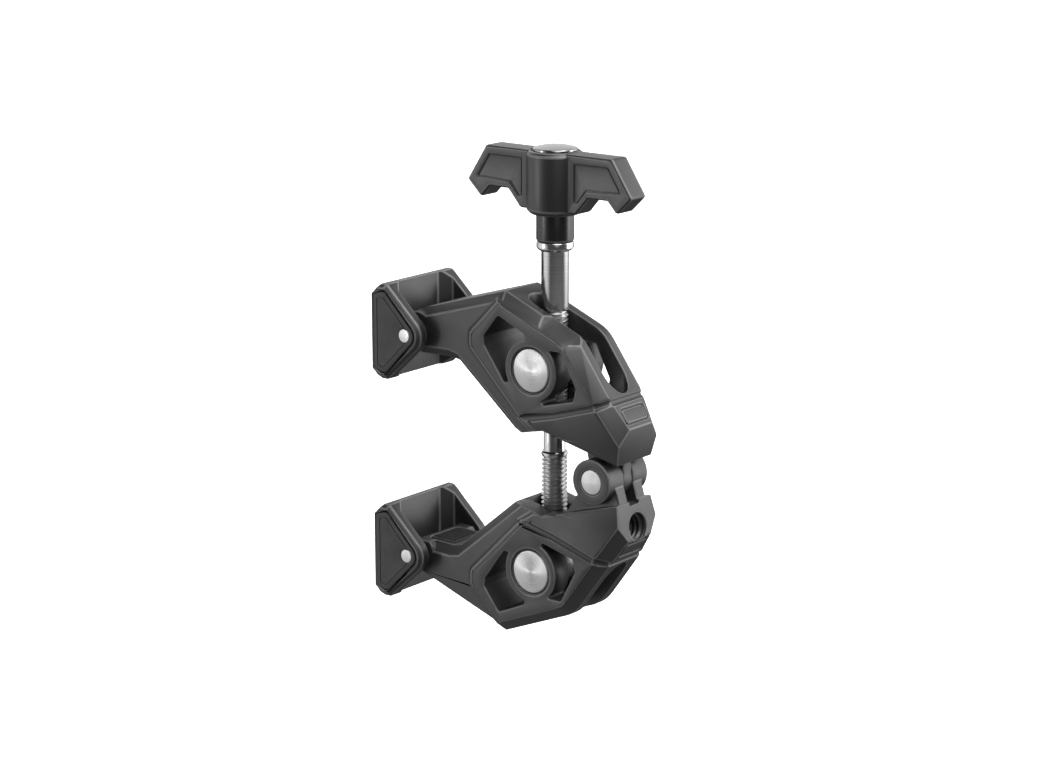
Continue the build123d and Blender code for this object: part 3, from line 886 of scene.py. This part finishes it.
@dataclass
class Hinge:
    """Hinge pin and the thread of the accessory hole, both in the lower jaw."""

    shop: Workshop
    hole_major: float = 3.175 * MM
    hole_minor: float = 2.56 * MM
    hole_pitch: float = 1.27 * MM
    hole_length: float = 8.4 * MM

    def build(self) -> None:
        """Dresses the pin and cuts the thread."""
        centre = tuple(box_centre("hinge_pin"))
        finish = TurnedSteel("pin_steel", axis=Axis.Y, centre=centre, roughness=0.34, anisotropy=0.4,
                             colour=(0.55, 0.55, 0.555), mark_depth=0.0015 * MM)
        pin = EdgeRounder(0.1 * MM).copy_of("hinge_pin", "hinge_pin_ground")
        hand_over(pin, "lower_jaw", finish.material("_hinge"), ["hinge_pin"])
        self.build_hole_thread()

    def build_hole_thread(self) -> None:
        """Lays the internal thread just inside the bore, from its mouth inwards."""
        mount = next(m for m in frame["record"]["mounts"] if m["name"] == "accessory_thread")
        outward = Vector(mount["axis"]).normalized()
        inner_end = Vector(mount["pos_m"]) - outward * (self.hole_length + 0.35 * MM)
        turn = Vector((0.0, 0.0, 1.0)).rotation_difference(outward).to_matrix().to_4x4()
        values = {"Valley Radius": self.hole_major, "Ridge Radius": self.hole_minor, "Pitch": self.hole_pitch,
                  "Length": self.hole_length, "Inside": True, "Finish": self.shop.jaw}
        thread = self.shop.thread.mesh_piece("accessory_hole_thread", values,
                                             Matrix.Translation(inner_end) @ turn)
        # edge: colour of the painted highlight and wear on marked outer edges; this thread mesh carries no
        # such mark.
        finish = BlastedBlack("jaw_aluminium", base=(0.05, 0.05, 0.052), edge=(0.3, 0.3, 0.31),
                              roughness=0.25, grain_depth=0.002 * MM)
        hand_over(thread, "lower_jaw", finish.material("_thread"))


@dataclass
class Spindle:
    """Threaded spindle: shank, waist, two thread zones, washer and end ring."""

    shop: Workshop
    shank_r: float = 3.1 * MM
    waist_r: float = 2.5 * MM
    crest_r: float = 2.99 * MM
    root_r: float = 2.42 * MM
    pitch: float = 1.0 * MM
    zone_ends: tuple[float, ...] = (-33.0, 2.3, 13.0, 35.8)

    def height(self, level: float) -> float:
        """Height in the row frame of a level on the rod.

        Args:
            level: millimetres above the middle of the two nuts.

        Returns:
            The height in metres.
        """
        low, high = box_centre("lower_barrel_nut").z, box_centre("upper_barrel_nut").z
        return (low + high) / 2 + level * MM

    def build(self) -> None:
        """Makes the rod and dresses the rings on it."""
        axis = box_centre("spindle")
        steel = TurnedSteel("spindle_steel", centre=tuple(axis), roughness=0.16, anisotropy=0.55,
                            colour=(0.72, 0.72, 0.73), marks_per_m=3000.0, mark_depth=0.0015 * MM).material()
        rolled = TurnedSteel("spindle_steel", roughness=0.32, anisotropy=0.0, colour=(0.66, 0.66, 0.67),
                             mark_depth=0.0, mark_shade=0.1).material("_thread")
        bottom, waist_low, waist_high, shank_low = (self.height(level) for level in self.zone_ends)
        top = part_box("handle_sleeve")[1].z + 7.0 * MM
        soft = 0.25 * MM
        profile = [(0.0, shank_low - 0.4 * MM), (self.root_r, shank_low - 0.4 * MM),
                   (self.crest_r, shank_low),
                   (self.shank_r - soft * 0.4, shank_low + soft * 0.2), (self.shank_r, shank_low + soft),
                   (self.shank_r, top), (0.0, top)]
        shank = lathe("spindle_shank", profile, (axis.x, axis.y))
        hand_over(shank, "spindle", steel, ["spindle"])
        rest = [(0.0, waist_low - 0.3 * MM), (self.crest_r - soft, waist_low - 0.3 * MM),
                (self.crest_r, waist_low + 0.1 * MM), (self.crest_r, waist_low + 0.75 * MM),
                (self.crest_r - soft, waist_low + 1.0 * MM), (self.waist_r, waist_low + 1.1 * MM),
                (self.waist_r, waist_high - 0.4 * MM), (self.root_r, waist_high), (0.0, waist_high)]
        waist = lathe("spindle_waist", rest, (axis.x, axis.y))
        hand_over(waist, "spindle", steel)
        for name, low, high in (("lower", bottom, waist_low), ("upper", waist_high, shank_low)):
            values = {"Valley Radius": self.root_r, "Ridge Radius": self.crest_r, "Pitch": self.pitch,
                      "Length": high - low, "Inside": False, "Finish": rolled}
            place = Matrix.Translation((axis.x, axis.y, low))
            thread = self.shop.thread.mesh_piece(f"spindle_thread_{name}", values, place)
            hand_over(thread, "spindle", rolled)
        washer = EdgeRounder(0.15 * MM).copy_of("spindle_washer", "washer_turned")
        hand_over(washer, "spindle_carrier", steel, ["spindle_washer"])
        ring = EdgeRounder(0.12 * MM).copy_of("spindle_end_ring", "end_ring_turned")
        pale = TurnedSteel("pin_steel", centre=tuple(axis), roughness=0.3, anisotropy=0.4).material("_ring")
        hand_over(ring, "spindle", pale, ["spindle_end_ring"])


@dataclass
class Handle:
    """T-handle with its sleeve and domed screw."""

    shop: Workshop

    def build(self) -> None:
        """Rounds and dresses the three pieces."""
        wings = EdgeRounder(0.35 * MM).copy_of("t_handle", "handle_wings")
        hand_over(wings, "spindle", self.shop.handle, ["t_handle"])
        sleeve = EdgeRounder(0.2 * MM).copy_of("handle_sleeve", "sleeve_turned")
        hand_over(sleeve, "spindle", self.shop.sleeve, ["handle_sleeve"])
        finish = TurnedSteel("screw_chrome", centre=tuple(box_centre("handle_screw")), roughness=0.12,
                             anisotropy=0.6, colour=(0.42, 0.42, 0.43), mark_depth=0.001 * MM,
                             mark_shade=0.05)
        screw = EdgeRounder(0.2 * MM).copy_of("handle_screw", "handle_screw_domed")
        hand_over(screw, "spindle", finish.material(), ["handle_screw"])


@dataclass
class Shoe:
    """One tilting shoe: block, two cover plates, ribbed face pad and pin."""

    side: str
    shop: Workshop
    groove_from_edge: float = 1.1 * MM
    groove_width: float = 0.22 * MM
    groove_depth: float = 0.15 * MM
    rib_spacing: float = 1.2 * MM
    rib_radius: float = 0.3 * MM

    def build(self) -> None:
        """Makes the five pieces of the shoe."""
        body = f"{self.side}_shoe"
        block = EdgeRounder(0.3 * MM).copy_of(body, f"{body}_block")
        hand_over(block, body, self.shop.shoe, [body])
        for place in ("near", "far"):
            self.build_plate(body, place)
        self.build_face(body)
        finish = TurnedSteel("pin_steel", axis=Axis.Y, centre=tuple(box_centre(f"{body}_pin")),
                             colour=(0.6, 0.6, 0.605), roughness=0.32, anisotropy=0.3, mark_depth=0.0015 * MM)
        pin = EdgeRounder(0.08 * MM).copy_of(f"{body}_pin", f"{body}_pin_ground")
        hand_over(pin, body, finish.material(f"_{self.side}"), [f"{body}_pin"])

    def build_plate(self, body: str, place: str) -> None:
        """Cover plate with a fine line engraved inside its edge.

        Args:
            body: the shoe's body.
            place: near or far.
        """
        node = f"{body}_plate_{place}"
        plate = EdgeRounder(0.15 * MM).copy_of(node, f"{body}_cover_{place}")
        cutter = self.groove_cutter(node, -1.0 if place == "near" else 1.0)
        cut = plate.modifiers.new("engraved line", "BOOLEAN")
        cut.operation = "DIFFERENCE"
        cut.solver = "EXACT"
        cut.object = cutter
        apply_modifiers(plate)
        bpy.data.objects.remove(cutter)
        shade_by_angle(plate.data)
        hand_over(plate, body, self.shop.plate, [node])

    def groove_cutter(self, node: str, out: float) -> bpy.types.Object:
        """Closed frame that follows the plate's outline a little inside it.

        Args:
            node: the plate's CAD node.
            out: -1 where the plate faces -Y, 1 where it faces +Y.

        Returns:
            The cutter, to be removed after use.
        """
        low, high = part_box(node)
        face_y = low.y if out < 0 else high.y
        outline = self.outer_outline(node, face_y)
        work = bmesh.new()
        loops = []
        for inset, depth in ((0.0, 1.0), (0.0, -1.0), (1.0, -1.0), (1.0, 1.0)):
            points = self.inset(outline, self.groove_from_edge + inset * self.groove_width)
            y = face_y + out * depth * self.groove_depth
            loops.append([work.verts.new((x, y, z)) for x, z in points])
        for first, second in zip(loops, loops[1:] + loops[:1]):
            for k in range(len(first)):
                after = (k + 1) % len(first)
                work.faces.new((first[k], first[after], second[after], second[k]))
        bmesh.ops.recalc_face_normals(work, faces=work.faces)
        mesh = bpy.data.meshes.new(f"{node}_groove")
        work.to_mesh(mesh)
        work.free()
        return linked_object(f"{node}_groove", mesh)

    @staticmethod
    def outer_outline(node: str, face_y: float) -> list[tuple[float, float]]:
        """Convex outline of the plate's outer face.

        Args:
            node: the plate's CAD node.
            face_y: Y of the face.

        Returns:
            X and Z pairs.
        """
        points = sorted({(round(v.co.x, 7), round(v.co.z, 7)) for v in frame["nodes"][node].data.vertices
                         if abs(v.co.y - face_y) < 0.01 * MM})

        def half(sequence: Iterable[tuple[float, float]]) -> list[tuple[float, float]]:
            """One side of the convex hull."""
            hull: list[tuple[float, float]] = []
            for p in sequence:
                while len(hull) > 1:
                    (ax, az), (bx, bz) = hull[-2], hull[-1]
                    if (bx - ax) * (p[1] - az) - (bz - az) * (p[0] - ax) > 1e-12:
                        break
                    hull.pop()
                hull.append(p)
            return hull[:-1]

        return half(points) + half(reversed(points))

    @staticmethod
    def inset(outline: Sequence[tuple[float, float]], distance: float) -> list[tuple[float, float]]:
        """A convex outline moved inwards.

        Args:
            outline: X and Z pairs.
            distance: how far, in metres.

        Returns:
            The new pairs.
        """
        moved = []
        count = len(outline)
        for k, (x, z) in enumerate(outline):
            before = (Vector((x, z)) - Vector(outline[k - 1])).normalized()
            after = (Vector(outline[(k + 1) % count]) - Vector((x, z))).normalized()
            inward = Vector((-before.y - after.y, before.x + after.x)).normalized()
            reach = distance / max(0.2, inward.dot(Vector((-before.y, before.x))))
            moved.append((x + inward.x * reach, z + inward.y * reach))
        return moved

    def build_face(self, body: str) -> None:
        """Rubber face: a rounded sheet with a row of ribs across it.

        Args:
            body: the shoe's body.
        """
        node = f"{body}_face_pad"
        pad = EdgeRounder(0.2 * MM).copy_of(node, f"{body}_face_sheet")
        low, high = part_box(node)
        sunk = low.x + self.rib_radius
        for vertex in pad.data.vertices:
            vertex.co.x = max(vertex.co.x, sunk)
        hand_over(pad, body, self.shop.pad, [node])
        size = high - low
        count = int((size.z - 1.6 * MM) / self.rib_spacing)
        turn = Matrix.Rotation(math.pi / 2, 4, "Y")
        place = Matrix.Translation((sunk, 0.0, (low.z + high.z) / 2)) @ turn
        values = {"Count": count, "Spacing": self.rib_spacing, "Rib Radius": self.rib_radius * 0.97,
                  "Rib Length": size.y - 2.0 * MM, "Finish": self.shop.pad}
        ribs = self.shop.ribs.mesh_piece(f"{body}_face_ribs", values, place)
        hand_over(ribs, body, self.shop.pad)


def direction(azimuth: float, elevation: float) -> Vector:
    """Unit vector from the clamp towards a place round it.

    Args:
        azimuth: degrees round Z; 0 is the -Y side and 90 the +X side.
        elevation: degrees above the level.

    Returns:
        The vector.
    """
    turn, rise = math.radians(azimuth), math.radians(elevation)
    return Vector((math.sin(turn) * math.cos(rise), -math.cos(turn) * math.cos(rise), math.sin(rise)))


@dataclass(frozen=True)
class Softbox:
    """One rectangular area light aimed at the clamp."""

    name: str
    azimuth: float
    elevation: float
    distance: float
    width: float
    height: float
    power: float

    def build(self, target: Vector) -> None:
        """Adds the light.

        Args:
            target: the point that it faces.
        """
        data = bpy.data.lights.new(self.name, "AREA")
        data.shape = "RECTANGLE"
        data.size = self.width
        data.size_y = self.height
        data.energy = self.power
        light = bpy.data.objects.new(self.name, data)
        bpy.context.scene.collection.objects.link(light)
        away = direction(self.azimuth, self.elevation)
        light.location = target + away * self.distance
        light.rotation_euler = (-away).to_track_quat("-Z", "Y").to_euler()


@dataclass(frozen=True)
class Glow:
    """A broad soft patch of light in the surroundings."""

    azimuth: float
    elevation: float
    spread: float
    strength: float

    def add_to(self, graph: Graph, toward: bpy.types.NodeSocket) -> bpy.types.NodeSocket:
        """Adds the patch to the world's tree.

        Args:
            graph: the world's tree.
            toward: socket of the unit direction looked in.

        Returns:
            The socket of the patch's brightness.
        """
        middle = tuple(direction(self.azimuth, self.elevation))
        near = graph.vector("DOT_PRODUCT", toward, middle).outputs["Value"]
        edge = math.cos(math.radians(self.spread))
        return graph.span(near, (edge, 1.0), (0.0, self.strength), interpolation_type="SMOOTHSTEP")


@dataclass
class Studio:
    """Pale floor, soft light and the camera."""

    target: Vector = field(default_factory=lambda: Vector((-0.03222, 0.0, 0.02631)))
    camera_azimuth: float = 38.26
    camera_elevation: float = 13.94
    camera_distance: float = 0.6126
    lens: float = 93.06
    floor_drop: float = 0.25
    room: float = 12.0
    paper: float = 0.9
    ambient: float = 0.07
    glows: tuple[Glow, ...] = (
        Glow(-55.0, -8.0, 52.0, 0.85),
        Glow(150.0, 8.0, 48.0, 1.7),
        Glow(75.0, 60.0, 36.0, 4.4),
        Glow(-130.0, 20.0, 46.0, 0.9),
        Glow(50.0, 10.0, 24.0, 0.55),
        Glow(90.0, -80.0, 70.0, 0.18),
    )
    softboxes: tuple[Softbox, ...] = (
        Softbox("strip_front_left", -36.0, 8.0, 0.9, 0.12, 0.7, 1.1),
        Softbox("strip_right", 128.0, 10.0, 0.9, 0.25, 0.9, 2.2),
        Softbox("top_rear", 110.0, 62.0, 0.9, 0.3, 0.3, 1.6),
    )

    def build(self) -> None:
        """Adds everything that isn't part of the clamp."""
        self.build_floor()
        self.build_world()
        for softbox in self.softboxes:
            softbox.build(self.target)
        self.build_camera()

    def build_floor(self) -> None:
        """A pale floor well below the clamp and pale walls round it, kept from lighting it."""
        low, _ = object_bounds()
        mesh = bpy.data.meshes.new("floor")
        work = bmesh.new()
        bmesh.ops.create_cube(work, size=self.room)
        work.transform(Matrix.Translation((0.0, 0.0, low[2] - self.floor_drop + self.room / 2)))
        work.to_mesh(mesh)
        work.free()
        floor = linked_object("floor", mesh)
        floor.visible_diffuse = False
        floor.visible_glossy = False
        floor.visible_shadow = False
        material = bpy.data.materials.new("floor_paper")
        material.use_nodes = True
        shader = material.node_tree.nodes["Principled BSDF"]
        graph = Graph(material.node_tree)
        graph.feed(shader, {"Base Color": (self.paper, self.paper, self.paper, 1.0), "Roughness": 0.9,
                            "Specular IOR Level": 0.0, "Emission Color": (1.0, 1.0, 1.0, 1.0),
                            "Emission Strength": 1.0})
        mesh.materials.append(material)
        floor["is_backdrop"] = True

    def build_world(self) -> None:
        """Dim surroundings with a few broad patches of light."""
        world = bpy.data.worlds.new("studio")
        bpy.context.scene.world = world
        world.use_nodes = True
        back = world.node_tree.nodes["Background"]
        graph = Graph(world.node_tree)
        toward = graph.vector("NORMALIZE", graph.add("ShaderNodeTexCoord").outputs["Generated"]).outputs[0]
        total: object = self.ambient
        for glow in self.glows:
            total = graph.math("ADD", glow.add_to(graph, toward), total)
        graph.feed(back, {"Color": (1.0, 1.0, 1.0, 1.0), "Strength": total})

    def build_camera(self) -> None:
        """Camera at the clamp's three-quarter view."""
        away = direction(self.camera_azimuth, self.camera_elevation)
        data = bpy.data.cameras.new("camera")
        data.lens = self.lens
        data.sensor_width = 36.0
        data.clip_start = 0.01
        data.clip_end = 50.0
        camera = bpy.data.objects.new("camera", data)
        bpy.context.scene.collection.objects.link(camera)
        camera.location = self.target + away * self.camera_distance
        camera.rotation_euler = (-away).to_track_quat("-Z", "Y").to_euler()
        bpy.context.scene.camera = camera
        bpy.context.scene.view_settings.view_transform = "Standard"


def main() -> None:
    """Builds the clamp's visible pieces and the studio."""
    logging.basicConfig(level=logging.INFO, format="%(name)s: %(message)s")
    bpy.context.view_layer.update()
    shop = Workshop()
    for side in ("upper", "lower"):
        Jaw(side, shop).build()
        Shoe(side, shop).build()
    Hinge(shop).build()
    Spindle(shop).build()
    Handle(shop).build()
    Studio().build()


if __name__ == "__main__":
    main()
